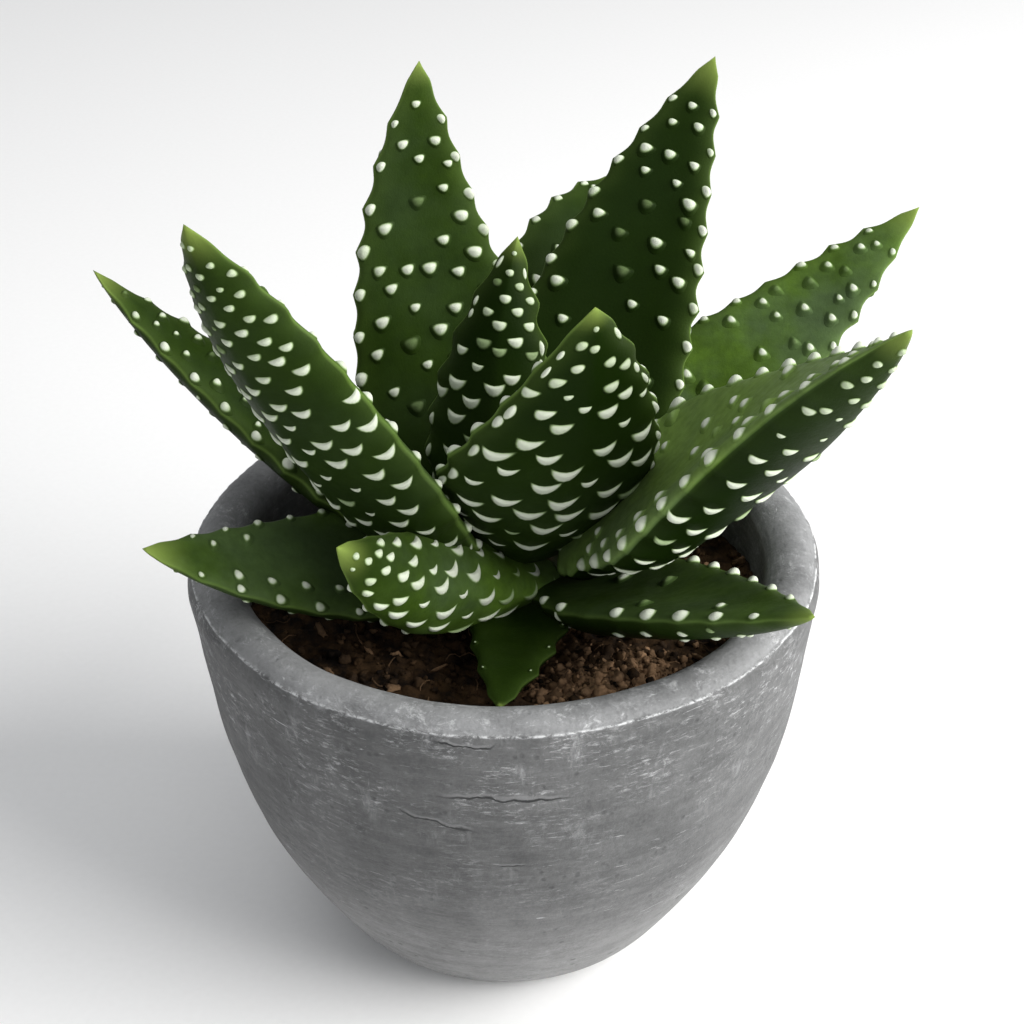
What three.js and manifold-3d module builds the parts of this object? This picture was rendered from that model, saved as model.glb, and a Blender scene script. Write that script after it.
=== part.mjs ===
// A small haworthia growing in a cup-shaped cement planter.
// Millimetres, +Z up, +X to the right and +Y to the back of the view in the photograph.
// The origin is the centre of the flat base that the planter stands on.

import * as THREE from "three";
import { mergeVertices } from "three/addons/utils/BufferGeometryUtils.js";
import Module from "manifold-3d";

const wasm = await Module();
wasm.setup();

// Planter: an eighty millimetre cup with a thick, softly rounded lip.
const POT_RADIUS = 40;
const POT_HEIGHT = 58.4;
const LIP_ROUNDING = 3.4;
const FLOOR = 8;
const POT_SIDES = 48;

// Outer wall between the base and the lip, as radius and height.
const POT_OUTLINE = [
  [18.4, 0],
  [20.3, 0.5],
  [22.9, 2.6],
  [26.0, 6.8],
  [30.0, 13.9],
  [34.2, 23.2],
  [37.3, 34.2],
  [38.9, 45.2],
];

// Inner wall below the lip, as radius and height.
const CAVITY_OUTLINE = [
  [32.9, 50],
  [30.9, 36],
  [27.0, 22],
  [20.0, 10.5],
  [14.0, FLOOR],
];

// Soil, and the short stem that the leaves grow from.
const CLEARANCE = 0.3;
const SOIL_LEVEL = 48.9;
const SOIL_SIDES = 36;
const SOIL_RINGS = 11;
const PLANT_X = 4;
const PLANT_Y = 2;
const STEM_RADIUS = 4.8;
const STEM_FOOT = 45;
const STEM_TOP = 59.5;

// Raised spots on the leaves.
const BAND_PITCH = 5;
const TOOTH_HEIGHT = 0.65;
const LOWER_SPOT_HEIGHT = 0.5;
const UPPER_SPOT_HEIGHT = 0.4;
const LEAF_SIDES = 12;

// The leaves, from the heart of the rosette outwards. Angles are in degrees.
// turn is the direction in plan, counted from +X; swing is how far it changes along the leaf;
// rise is the slope at the foot and lift the slope at the tip; roll and twist turn the blade
// about its own length; keel is the depth of the outer face; shoulder says where the blade
// reaches its full width, waist how wide its foot is, and point how late it narrows.
const LEAVES = [
  {
    name: "leaf_heart_front", foot: [4.6, 1, 57.5], turn: -70, swing: 0, rise: 80, lift: 88,
    length: 23, width: 10, keel: 3.4, roll: 0, twist: 0, waist: 0.7, shoulder: 0.3, point: 1.8,
  },
  {
    name: "leaf_heart_back", foot: [3.6, 3.4, 57], turn: 125, swing: 0, rise: 78, lift: 86,
    length: 25, width: 11, keel: 3.4, roll: 0, twist: 0, waist: 0.7, shoulder: 0.3, point: 1.8,
  },
  {
    name: "leaf_inner_front", foot: [1.2, -2.7, 60.8], turn: -69.3, swing: 4.4, rise: 50.3, lift: 72.6,
    length: 46.5, width: 29.5, keel: 6, roll: -19.9, twist: 27.7, waist: 0.5, shoulder: 0.5, point: 2.36,
  },
  {
    name: "leaf_inner_left", foot: [0.7, -0.3, 59.4], turn: -132.1, swing: 1.3, rise: 73.6, lift: 111,
    length: 40.1, width: 19.3, keel: 6, roll: 34.9, twist: 2.2, waist: 0.62, shoulder: 0.35, point: 1.73,
  },
  {
    name: "leaf_inner_back", foot: [3.2, 5, 58.5], turn: 104, swing: 0, rise: 62, lift: 74,
    length: 31, width: 13.5, keel: 4.5, roll: 0, twist: 0, waist: 0.62, shoulder: 0.35, point: 1.8,
  },
  {
    name: "leaf_tall_left", foot: [-1.4, 4.4, 56.5], turn: 133.6, swing: 1.4, rise: 59.5, lift: 97.6,
    length: 61.4, width: 26.5, keel: 6, roll: -28.5, twist: 4.6, waist: 0.62, shoulder: 0.35, point: 1.75,
  },
  {
    name: "leaf_tall_right", foot: [5.2, 5.1, 57.1], turn: 52.3, swing: -0.5, rise: 64.4, lift: 47.2,
    length: 63.2, width: 26.5, keel: 6, roll: 22.5, twist: -1.9, waist: 0.62, shoulder: 0.31, point: 1.81,
  },
  {
    name: "leaf_front_right", foot: [7.9, -3.5, 61.1], turn: -41.6, swing: -18.5, rise: 45.4, lift: 41.8,
    length: 68, width: 26.6, keel: 10, roll: 39.4, twist: -36.1, waist: 0.5, shoulder: 0.34, point: 2.45,
  },
  {
    name: "leaf_front_left", foot: [-4.2, -1.7, 58.2], turn: -146.6, swing: 22.4, rise: 50.7, lift: 59.6,
    length: 67, width: 25.5, keel: 8.2, roll: -5.6, twist: 19.2, waist: 0.58, shoulder: 0.34, point: 2.3,
  },
  {
    name: "leaf_behind_right", foot: [5.7, 8.3, 57.3], turn: 84, swing: -18, rise: 57, lift: 9,
    length: 54, width: 25, keel: 6, roll: 29.9, twist: 3.6, waist: 0.62, shoulder: 0.35, point: 3.03,
  },
  {
    name: "leaf_far_right", foot: [6.9, 5.5, 57.9], turn: 29.6, swing: -2.2, rise: 24.7, lift: 34.8,
    length: 63, width: 23.5, keel: 6, roll: 32.3, twist: -4.5, waist: 0.62, shoulder: 0.35, point: 1.63,
  },
  {
    name: "leaf_far_left", foot: [-1.5, 2.5, 53.4], turn: 168.5, swing: 1.1, rise: 28.1, lift: 43.5,
    length: 61.9, width: 20.2, keel: 6, roll: -2.8, twist: 2.6, waist: 0.62, shoulder: 0.35, point: 1.75,
  },
  {
    name: "leaf_low_front_left", foot: [4.6, -1.7, 53.2], turn: -141.4, swing: 26.7, rise: 15.4, lift: 48.4,
    length: 43.7, width: 14.8, keel: 6.1, roll: 95.8, twist: -3.6, waist: 0.38, shoulder: 0.52, point: 2.71,
  },
  {
    name: "leaf_low_right", foot: [6.9, -2.5, 53.6], turn: -53.2, swing: -2.7, rise: 22.2, lift: 24.5,
    length: 48.7, width: 19.3, keel: 6.1, roll: 0.3, twist: 3.5, waist: 0.64, shoulder: 0.3, point: 1.93,
  },
  {
    name: "leaf_low_left", foot: [-0.9, 1, 56.5], turn: -153.3, swing: 4.2, rise: 2.5, lift: 30.5,
    length: 48.5, width: 19.1, keel: 6, roll: -19.9, twist: -8.7, waist: 0.62, shoulder: 0.35, point: 2.04,
  },
  {
    name: "leaf_back_left", foot: [2.1, 6.6, 54.5], turn: 112, swing: 0, rise: 16, lift: 28,
    length: 44, width: 18, keel: 5, roll: 0, twist: 0, waist: 0.62, shoulder: 0.35, point: 1.8,
  },
  {
    name: "leaf_low_back_left", foot: [-0.3, 4.5, 55], turn: 150, swing: 0, rise: 10, lift: 20,
    length: 38, width: 17, keel: 5, roll: 0, twist: 0, waist: 0.62, shoulder: 0.35, point: 1.8,
  },
  {
    name: "leaf_low_back_right", foot: [7.7, 5.3, 54.5], turn: 42, swing: 0, rise: 12, lift: 24,
    length: 38, width: 17, keel: 5, roll: 0, twist: 0, waist: 0.62, shoulder: 0.35, point: 1.8,
  },
  {
    name: "leaf_low_back", foot: [4.9, 6.9, 53.5], turn: 80, swing: 0, rise: 14, lift: 26,
    length: 42, width: 18, keel: 5, roll: 0, twist: 0, waist: 0.62, shoulder: 0.35, point: 1.8,
  },
  {
    name: "leaf_low_front", foot: [3, -1, 53.3], turn: -97, swing: 0, rise: 2, lift: 2,
    length: 30, width: 14, keel: 4, roll: 0, twist: 0, waist: 0.62, shoulder: 0.35, point: 1.8,
  },
];

const radians = THREE.MathUtils.degToRad;
const smooth = (t) => THREE.MathUtils.smoothstep(t, 0, 1);

// Joins shared corners and drops triangles of no area, so that the surface is closed.
function closed(geometry) {
  geometry.deleteAttribute("normal");
  geometry.deleteAttribute("uv");
  const merged = mergeVertices(geometry, 1e-4);
  const kept = [];
  for (let i = 0; i < merged.index.count; i += 3) {
    const [a, b, c] = [0, 1, 2].map((k) => merged.index.getX(i + k));
    if (a !== b && b !== c && c !== a) kept.push(a, b, c);
  }
  merged.setIndex(kept);
  return merged;
}

// The volume inside a closed surface, negative when its faces point inwards.
function signedVolume(geometry) {
  const corner = [0, 1, 2].map(() => new THREE.Vector3());
  let volume = 0;
  for (let i = 0; i < geometry.index.count; i += 3) {
    corner.forEach((v, k) => v.fromBufferAttribute(geometry.attributes.position, geometry.index.getX(i + k)));
    volume += corner[0].dot(corner[1].clone().cross(corner[2])) / 6;
  }
  return volume;
}

function solid(geometry) {
  const surface = closed(geometry);
  const triangles = Uint32Array.from(surface.index.array);
  if (signedVolume(surface) < 0) triangles.reverse();
  const corners = Float32Array.from(surface.attributes.position.array);
  return new wasm.Manifold(new wasm.Mesh({ numProp: 3, vertProperties: corners, triVerts: triangles }));
}

// Back from a solid to a mesh; a cut that splits a piece keeps its main body.
function meshed(name, body, material) {
  const main = body.decompose().sort((a, b) => b.volume() - a.volume())[0];
  const result = main.getMesh();
  const geometry = new THREE.BufferGeometry();
  geometry.setAttribute("position", new THREE.BufferAttribute(Float32Array.from(result.vertProperties), 3));
  geometry.setIndex(Array.from(result.triVerts));
  geometry.computeVertexNormals();
  const mesh = new THREE.Mesh(geometry, material);
  mesh.name = name;
  return mesh;
}

// A turned solid about an upright axis; the profile is radius and height from axis to axis.
function turned(profile, sides, x = 0, y = 0) {
  const points = profile.map(([r, z]) => new THREE.Vector2(r, z));
  const geometry = new THREE.LatheGeometry(points, sides);
  geometry.rotateX(Math.PI / 2);
  geometry.translate(x, y, 0);
  return geometry;
}

// Planter: flat base, bellied wall, lip rounded over in an arc, inner wall and floor.
function potProfile() {
  const lipCentre = POT_RADIUS - LIP_ROUNDING;
  const lipBase = POT_HEIGHT - LIP_ROUNDING;
  const profile = [[0, 0], ...POT_OUTLINE];
  for (let i = 0; i <= 8; i++) {
    const a = (Math.PI * i) / 8;
    profile.push([lipCentre + LIP_ROUNDING * Math.cos(a), lipBase + LIP_ROUNDING * Math.sin(a)]);
  }
  profile.push(...CAVITY_OUTLINE, [0, FLOOR]);
  return profile;
}

// Height of the soil: low waves, a coarse grain, the clod at the front right, a hollow at the
// front left and a shallow dip under the lowest leaves.
function soilHeight(x, y) {
  const waves = 0.5 * Math.sin(0.21 * x + 1.1) * Math.cos(0.17 * y - 0.6);
  const grain = 0.35 * Math.sin(1.7 * x + 2.3 * y) * Math.sin(1.3 * y - 0.9 * x + 0.7);
  const clod = 2.4 * Math.exp(-((x - 13) ** 2) / 50 - ((y + 20) ** 2) / 26);
  const hollow = -0.7 * Math.exp(-((x + 14) ** 2) / 60 - ((y + 20) ** 2) / 60);
  const dip = -0.9 * Math.exp(-((x - PLANT_X) ** 2 + (y - PLANT_Y + 4) ** 2) / 180);
  return SOIL_LEVEL + waves + grain + clod + hollow + dip;
}

// Soil: fills the planter from its floor, with a rough top.
function soilGeometry() {
  const wall = [...CAVITY_OUTLINE].reverse().map(([r, z]) => [r - CLEARANCE, z + CLEARANCE]);
  const below = wall.filter(([, z]) => z < SOIL_LEVEL - 4);
  const edge = 32.8 - CLEARANCE - 0.3;
  const positions = [0, 0, FLOOR + CLEARANCE];
  const rings = below.map(([r, z]) => [r, () => z]);
  for (let k = SOIL_RINGS; k > 0; k--) rings.push([(edge * k) / SOIL_RINGS, soilHeight]);
  for (const [r, height] of rings) {
    for (let j = 0; j < SOIL_SIDES; j++) {
      const a = (2 * Math.PI * j) / SOIL_SIDES;
      const x = r * Math.cos(a);
      const y = r * Math.sin(a);
      positions.push(x, y, height(x, y));
    }
  }
  positions.push(0, 0, soilHeight(0, 0));
  return ringSurface(positions, rings.length, SOIL_SIDES);
}

// Skins a stack of rings that starts and ends in a single point.
function ringSurface(positions, rings, sides) {
  const index = [];
  const at = (ring, j) => 1 + ring * sides + (j % sides);
  const last = 1 + rings * sides;
  for (let j = 0; j < sides; j++) {
    index.push(0, at(0, j + 1), at(0, j));
    index.push(last, at(rings - 1, j), at(rings - 1, j + 1));
    for (let ring = 0; ring + 1 < rings; ring++) {
      index.push(at(ring, j), at(ring, j + 1), at(ring + 1, j + 1));
      index.push(at(ring, j), at(ring + 1, j + 1), at(ring + 1, j));
    }
  }
  const geometry = new THREE.BufferGeometry();
  geometry.setAttribute("position", new THREE.Float32BufferAttribute(positions, 3));
  geometry.setIndex(index);
  return geometry;
}

// Stem: a short stub in its hole in the soil, domed where the youngest leaves start.
function stemProfile(grow) {
  const r = STEM_RADIUS + grow;
  return [
    [0, STEM_FOOT - grow],
    [0.7 * r, STEM_FOOT - grow],
    [r, STEM_FOOT + 1.5],
    [r, STEM_TOP - 3],
    [0.75 * r, STEM_TOP - 1 + grow],
    [0, STEM_TOP + grow],
  ];
}

// Direction of the leaf's midline at u, from 0 at the foot to 1 at the tip.
function heading(leaf, u) {
  const turn = radians(leaf.turn + leaf.swing * u);
  const slope = radians(leaf.rise + (leaf.lift - leaf.rise) * u);
  return { turn, slope };
}

function along({ turn, slope }) {
  const level = Math.cos(slope);
  return new THREE.Vector3(level * Math.cos(turn), level * Math.sin(turn), Math.sin(slope));
}

// Point on the midline, by adding up short steps from the foot.
function midline(leaf, u) {
  const steps = 64;
  const point = new THREE.Vector3(...leaf.foot);
  for (let i = 0; i < steps; i++) {
    const share = THREE.MathUtils.clamp(u * steps - i, 0, 1);
    if (share === 0) break;
    point.addScaledVector(along(heading(leaf, (i + 0.5) / steps)), (share * leaf.length) / steps);
  }
  return point;
}

// Across the blade and square to its upper face, rolled about the midline.
function bladeAxes(leaf, u) {
  const { turn, slope } = heading(leaf, u);
  const side = new THREE.Vector3(-Math.sin(turn), Math.cos(turn), 0);
  const up = new THREE.Vector3(
    -Math.sin(slope) * Math.cos(turn),
    -Math.sin(slope) * Math.sin(turn),
    Math.cos(slope),
  );
  const roll = radians(leaf.roll + leaf.twist * u);
  const across = side.clone().multiplyScalar(Math.cos(roll)).addScaledVector(up, Math.sin(roll));
  const face = up.clone().multiplyScalar(Math.cos(roll)).addScaledVector(side, -Math.sin(roll));
  return { across, face };
}

const UPPER_CROWN = 2.2;
const CHANNEL = 2.4;
const KEEL_SHARPNESS = 0.8;

// Share of the full width and of the full thickness at u.
function widthShare(leaf, u) {
  const foot = leaf.waist + (1 - leaf.waist) * smooth(u / leaf.shoulder);
  return foot * Math.max(1 - u ** leaf.point, 0) ** 0.9;
}

function thicknessShare(u) {
  return (0.8 + 0.2 * smooth(u / 0.3)) * Math.max(1 - u ** 2.3, 0) ** 0.8;
}

// Point on the leaf's skin: angle 0 and 180 degrees are the margins, 90 the middle of the
// upper face and 270 the keel. grow moves the skin outwards, raise lifts a single spot.
function skinPoint(leaf, u, angle, grow, raise) {
  const c = Math.cos(angle);
  const s = Math.sin(angle);
  const wide = widthShare(leaf, u);
  const thick = thicknessShare(u);
  const x = ((leaf.width / 2) * wide + grow + raise * Math.abs(c)) * c;
  let y = UPPER_CROWN * thick * s - CHANNEL * thick * wide * s ** 3;
  if (s < 0) {
    const ridge = KEEL_SHARPNESS * Math.abs(s) + (1 - KEEL_SHARPNESS) * (1 - Math.abs(c));
    y = -leaf.keel * thick * ridge;
  }
  y += (grow + raise) * s;
  const { across, face } = bladeAxes(leaf, u);
  return midline(leaf, u).addScaledVector(across, x).addScaledVector(face, y);
}

// How far the skin is raised at one corner of the blade's net: a tooth on each margin at
// every band, closely staggered spots on the lower face and a sparser rule on the upper face.
function spotHeight(band, column) {
  if (column % (LEAF_SIDES / 2) === 0) return TOOTH_HEIGHT;
  if (column > LEAF_SIDES / 2) return (column + band) % 2 === 1 ? LOWER_SPOT_HEIGHT : 0;
  return (2 * column + 3 * band) % 5 === 0 ? UPPER_SPOT_HEIGHT : 0;
}

// Leaf: a blade whose net has one row on each band of spots and one between bands.
// With room around it, it only has the rows on the bands, which cover what lies between.
function leafGeometry(leaf, grow) {
  const bands = Math.round(leaf.length / BAND_PITCH);
  const rows = [];
  for (let row = 0; row < 2 * bands; row++) if (grow === 0 || row === 0 || row % 2 === 1) rows.push(row);
  const positions = [];
  const foot = midline(leaf, 0).addScaledVector(along(heading(leaf, 0)), -grow);
  positions.push(foot.x, foot.y, foot.z);
  for (const row of rows) {
    const u = (row + 0.15) / (2 * bands + 0.1);
    const band = (row - 1) / 2;
    for (let column = 0; column < LEAF_SIDES; column++) {
      const angle = (2 * Math.PI * column) / LEAF_SIDES;
      const room = Math.min(1, 4 * widthShare(leaf, u));
      const raise = row % 2 === 1 ? room * spotHeight(band, column) : 0;
      const p = skinPoint(leaf, u, angle, grow, raise);
      if (row === 0) p.addScaledVector(along(heading(leaf, 0)), -grow);
      positions.push(p.x, p.y, p.z);
    }
  }
  const tip = midline(leaf, 1).addScaledVector(along(heading(leaf, 1)), grow);
  positions.push(tip.x, tip.y, tip.z);
  return ringSurface(positions, rows.length, LEAF_SIDES);
}

const cement = new THREE.MeshStandardMaterial({ color: 0x7b7d80, roughness: 0.8, metalness: 0 });
const earth = new THREE.MeshStandardMaterial({ color: 0x3a2a20, roughness: 0.95, metalness: 0 });
const pith = new THREE.MeshStandardMaterial({ color: 0x46592c, roughness: 0.7, metalness: 0 });

const plant = new THREE.Group();
const pot = meshed("pot", solid(turned(potProfile(), POT_SIDES)), cement);
plant.add(pot);

const stemHole = solid(turned(stemProfile(CLEARANCE), 16, PLANT_X, PLANT_Y));
plant.add(meshed("soil", solid(soilGeometry()).subtract(stemHole), earth));
plant.add(meshed("stem", solid(turned(stemProfile(0), 16, PLANT_X, PLANT_Y)), pith));

// Each leaf is pressed around the stem and around the younger leaves inside it.
const inside = [stemHole];
for (const leaf of LEAVES) {
  let blade = solid(leafGeometry(leaf, 0));
  for (const neighbour of inside) blade = blade.subtract(neighbour);
  const skin = new THREE.MeshStandardMaterial({ color: 0x3a5226, roughness: 0.5, metalness: 0 });
  plant.add(meshed(leaf.name, blade, skin));
  inside.push(solid(leafGeometry(leaf, CLEARANCE)));
}

export default plant;
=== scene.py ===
import math

import bmesh
import bpy
import numpy as np
from mathutils import Matrix, Vector, noise


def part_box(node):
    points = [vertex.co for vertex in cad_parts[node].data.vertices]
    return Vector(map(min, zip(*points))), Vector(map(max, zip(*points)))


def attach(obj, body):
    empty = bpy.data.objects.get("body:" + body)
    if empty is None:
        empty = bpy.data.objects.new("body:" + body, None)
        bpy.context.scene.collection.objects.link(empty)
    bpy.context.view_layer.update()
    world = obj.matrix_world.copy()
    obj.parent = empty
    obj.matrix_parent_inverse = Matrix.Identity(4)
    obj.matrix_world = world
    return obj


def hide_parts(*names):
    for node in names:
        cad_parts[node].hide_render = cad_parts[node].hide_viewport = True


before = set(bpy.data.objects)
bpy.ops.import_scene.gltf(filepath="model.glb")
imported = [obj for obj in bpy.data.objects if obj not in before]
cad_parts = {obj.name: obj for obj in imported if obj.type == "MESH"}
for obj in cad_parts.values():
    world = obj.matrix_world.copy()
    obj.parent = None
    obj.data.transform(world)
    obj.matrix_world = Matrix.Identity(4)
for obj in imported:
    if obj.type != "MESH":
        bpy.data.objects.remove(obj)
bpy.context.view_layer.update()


# -----------------------------------------------------------------------------
# Table, light and camera
# The planter stands on a plain white table. A broad soft light falls from the right, weaker
# ones from above and from the front, and the camera looks down at 32 degrees.
# -----------------------------------------------------------------------------
MM = 0.001  # one millimetre, in Blender's metres
CAMERA_TARGET = Vector((0.93, 0, 61.6)) * MM
CAMERA_DISTANCE = 240 * MM
CAMERA_ELEVATION = math.radians(32.2)
CAMERA_TILT = math.radians(-0.2)
NEAREST_SEEN = 10 * MM
SENSOR = 36
LENS = 67.11
TABLE_RADIUS = 1500
TABLE_SIDES = 96
TABLE_WHITE = (0.86, 0.86, 0.86, 1)
TABLE_SPECK = (0.9, 0.9, 0.9, 1)
ROOM_WHITE = (0.95, 0.97, 1.0, 1)
ROOM_STRENGTH = 0.33
LAMP_AIM = Vector((0, 0, 0.05))  # metres, the middle of the plant

scene = bpy.context.scene
scene.view_settings.view_transform = "Standard"


def node(tree, kind, inputs=None, **settings):
    """A node with its settings; each input is a value, or the socket that feeds it."""
    made = tree.nodes.new(kind)
    for key, value in settings.items():
        setattr(made, key, value)
    for key, value in (inputs or {}).items():
        if isinstance(value, bpy.types.NodeSocket):
            tree.links.new(value, made.inputs[key])
        else:
            made.inputs[key].default_value = value
    return made


def math_node(tree, operation, *values, clamp=False):
    inputs = dict(enumerate(values))
    made = node(tree, "ShaderNodeMath", inputs, operation=operation, use_clamp=clamp)
    return made.outputs[0]


def times(tree, first, second):
    return math_node(tree, "MULTIPLY", first, second)


def scaled(tree, value, factor, offset):
    """The value times the factor, with the offset added."""
    return math_node(tree, "MULTIPLY_ADD", value, factor, offset)


def between(tree, value, low, high):
    """0 where value is under low, 1 where it is over high, and smooth between them."""
    inputs = {"Value": value, "From Min": low, "From Max": high}
    made = node(tree, "ShaderNodeMapRange", inputs, interpolation_type="SMOOTHSTEP")
    return made.outputs["Result"]


def noise_of(tree, place, scale, detail, roughness=0.5, distortion=0.0):
    inputs = {"Vector": place, "Scale": scale, "Detail": detail, "Roughness": roughness,
              "Distortion": distortion}
    return node(tree, "ShaderNodeTexNoise", inputs).outputs["Fac"]


def blend_colour(tree, factor, first, second):
    """The first colour where the factor is 0, and the second where it is 1."""
    inputs = {0: factor, 6: first, 7: second}  # the node's sockets for a factor and two colours
    return node(tree, "ShaderNodeMix", inputs, data_type="RGBA").outputs[2]


def new_material(name):
    """An empty node material, its tree, its Principled shader and the place on the object."""
    material = bpy.data.materials.new(name)
    material.use_nodes = True
    tree = material.node_tree
    shader = tree.nodes["Principled BSDF"]
    place = node(tree, "ShaderNodeTexCoord").outputs["Object"]
    return material, tree, shader, place


def mesh_object(name, points, faces, material, marks=None):
    """An object from points in millimetres; marks are named values for every point."""
    mesh = bpy.data.meshes.new(name)
    mesh.from_pydata((np.asarray(points) * MM).tolist(), [], faces)
    mesh.polygons.foreach_set("use_smooth", [True] * len(mesh.polygons))
    for mark, values in (marks or {}).items():
        mesh.attributes.new(mark, "FLOAT", "POINT").data.foreach_set("value", values)
    mesh.materials.append(material)
    made = bpy.data.objects.new(name, mesh)
    scene.collection.objects.link(made)
    return made


table_paint, tree, shader, place = new_material("table_paint")
colour = blend_colour(tree, noise_of(tree, place, 900.0, 3.0), TABLE_WHITE, TABLE_SPECK)
tree.links.new(colour, shader.inputs["Base Color"])
shader.inputs["Roughness"].default_value = 0.9

ring = [(math.cos(a) * TABLE_RADIUS, math.sin(a) * TABLE_RADIUS, 0)
        for a in np.linspace(0, 2 * math.pi, TABLE_SIDES, endpoint=False)]
table = mesh_object("table", ring, [tuple(range(TABLE_SIDES))], table_paint)

world = bpy.data.worlds.new("pale_room")
scene.world = world
world.use_nodes = True
sky = world.node_tree.nodes["Background"]
sky.inputs["Color"].default_value = ROOM_WHITE
sky.inputs["Strength"].default_value = ROOM_STRENGTH


def soft_light(name, direction, distance, size, power, colour):
    """A square area light, aimed at the plant; its distance and size are in metres."""
    lamp = bpy.data.lights.new(name, "AREA")
    lamp.size = size
    lamp.energy = power
    lamp.color = colour
    made = bpy.data.objects.new(name, lamp)
    scene.collection.objects.link(made)
    back = Vector(direction).normalized()
    made.location = LAMP_AIM + back * distance
    made.rotation_mode = "QUATERNION"
    made.rotation_quaternion = back.to_track_quat("Z", "Y")


soft_light("window", (1.0, -0.32, 0.56), 0.8, 0.7, 13.2, (1.0, 0.99, 0.97))
soft_light("ceiling", (-0.1, 0.1, 1.0), 0.9, 0.8, 2.4, (1.0, 1.0, 1.0))
soft_light("front_fill", (0.0, -1.0, 0.5), 1.0, 0.7, 1.2, (0.98, 0.99, 1.0))

lens = bpy.data.cameras.new("camera")
lens.sensor_width = SENSOR
lens.lens = LENS
lens.clip_start = NEAREST_SEEN
camera = bpy.data.objects.new("camera", lens)
scene.collection.objects.link(camera)
level = Vector((1, 0, 0))
steep = Vector((0, math.sin(CAMERA_ELEVATION), math.cos(CAMERA_ELEVATION)))
right = level * math.cos(CAMERA_TILT) + steep * math.sin(CAMERA_TILT)
upward = steep * math.cos(CAMERA_TILT) - level * math.sin(CAMERA_TILT)
backward = right.cross(upward)
turned = Matrix((right, upward, backward)).transposed().to_4x4()
camera.matrix_world = Matrix.Translation(CAMERA_TARGET + backward * CAMERA_DISTANCE) @ turned
scene.camera = camera


# -----------------------------------------------------------------------------
# Planter
# A cup of grey cement, cast in one piece and rubbed down by hand, with a flat base, a bellied
# wall and a thick, paler lip. The lip's outer edge is chipped white, and the wall has chalky
# scuffs, fine pits and a few hairline cracks that run round it.
# -----------------------------------------------------------------------------
POT_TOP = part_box("pot")[1] / MM
POT_RADIUS = POT_TOP.x
POT_HEIGHT = POT_TOP.z
LIP_ROUNDING = 3.4
LIP_STEPS = 49
LIP_BLEND = 5  # degrees, the change of colour from the wall to the lip
POT_FLOOR = 8
POT_SIDES = 420
RIDGE_ANGLE = 38  # how far round the lip the chipped edge lies, in degrees
RIDGE_WIDTH = 2.5
WALL_INSET = 0.1
WALL_UNEVENNESS = 0.22
UNEVEN_PITCH = 14
UNEVEN_FROM = 8  # the height from which the wall is fully uneven; the base is even
EDGE_SWELL = 0.12
EDGE_LIFT = 0.6
EDGE_LIMIT = 0.25
NICK_PITCH = 1.3
NICK_DEPTH = 0.4
NICK_START = 0.3
CAVITY_SHARE = 0.3  # of the lip's colour
WALL_OUTLINE = [(18.4, 0), (20.3, 0.5), (22.9, 2.6), (26.0, 6.8), (30.0, 13.9), (34.2, 23.2),
                (37.3, 34.2), (38.9, 45.2), (40.0, 55.0)]
CAVITY_OUTLINE = [(32.9, 50), (30.9, 36), (27.0, 22), (20.0, 10.5), (14.0, POT_FLOOR)]


def shader_group(name, numbers, results):
    """An empty node group that takes a place and these numbers, each with its usual value."""
    group = bpy.data.node_groups.new(name, "ShaderNodeTree")
    group.interface.new_socket("Place", in_out="INPUT", socket_type="NodeSocketVector")
    for label, usual in numbers.items():
        socket = group.interface.new_socket(label, in_out="INPUT", socket_type="NodeSocketFloat")
        socket.default_value = usual
    for label in results:
        group.interface.new_socket(label, in_out="OUTPUT", socket_type="NodeSocketFloat")
    return group, node(group, "NodeGroupInput").outputs, node(group, "NodeGroupOutput").inputs


def placed(tree, group, inputs):
    """The group in a material, with that material's own values."""
    return node(tree, "ShaderNodeGroup", inputs, node_tree=group).outputs


# Cloudy change of tone over a surface: 0 in the dark patches, 1 in the light ones.
mottle, given, result = shader_group("mottle", {"Fineness": 100.0, "Contrast": 0.2}, ["Mask"])
clouds = noise_of(mottle, given["Place"], given["Fineness"], 6.0, 0.6)
low = math_node(mottle, "SUBTRACT", 0.5, given["Contrast"])
high = math_node(mottle, "ADD", 0.5, given["Contrast"])
mottle.links.new(between(mottle, clouds, low, high), result["Mask"])

# Fine grain: a height for the bump, and its pits as a mask for the colour.
grain, given, result = shader_group(
    "grain", {"Fineness": 2000.0, "Pits": 0.3}, ["Height", "Mask"])
sand = noise_of(grain, given["Place"], given["Fineness"], 4.0, 0.65)
cells = node(grain, "ShaderNodeTexVoronoi", {
    "Vector": given["Place"], "Scale": times(grain, given["Fineness"], 0.35),
}).outputs["Distance"]
sparse = noise_of(grain, given["Place"], times(grain, given["Fineness"], 0.12), 2.0)
pit = times(grain, between(grain, cells, 0.3, 0.08), between(grain, sparse, 0.5, 0.62))
depth = times(grain, pit, given["Pits"])
grain.links.new(math_node(grain, "SUBTRACT", sand, depth), result["Height"])
grain.links.new(pit, result["Mask"])

CRACK_WANDER = 0.0016

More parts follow.
